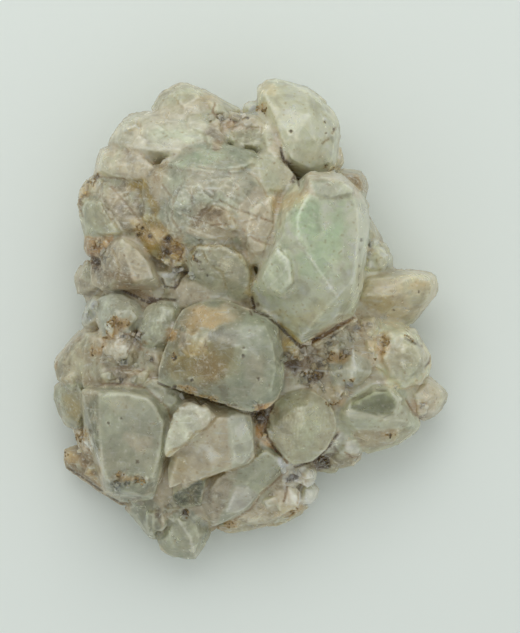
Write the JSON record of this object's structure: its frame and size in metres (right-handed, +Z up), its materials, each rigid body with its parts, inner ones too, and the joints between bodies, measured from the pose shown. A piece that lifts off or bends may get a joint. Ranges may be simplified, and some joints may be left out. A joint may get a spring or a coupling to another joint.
{
  "type": "datolite crystal cluster",
  "caption": "Cluster of blocky, wedge-faced, cloudy pale green crystals grown together on rock, resting on its broken underside.",
  "frame": {"origin": "middle of the cluster's outline, on the plane of the face it rests on", "axes": "+Z up from the face it rests on, +Y along the cluster's length towards its rounded double-topped end, +X towards the side with the long free-standing prism"},
  "size_m": [0.0794, 0.0964, 0.0404],
  "materials": {
    "datolite": "cloudy, frosted crystal faces with rust-stained rock between them"
  },
  "bodies": {
    "root": {"datolite_cluster": "datolite"}
  },
  "joints": []
}
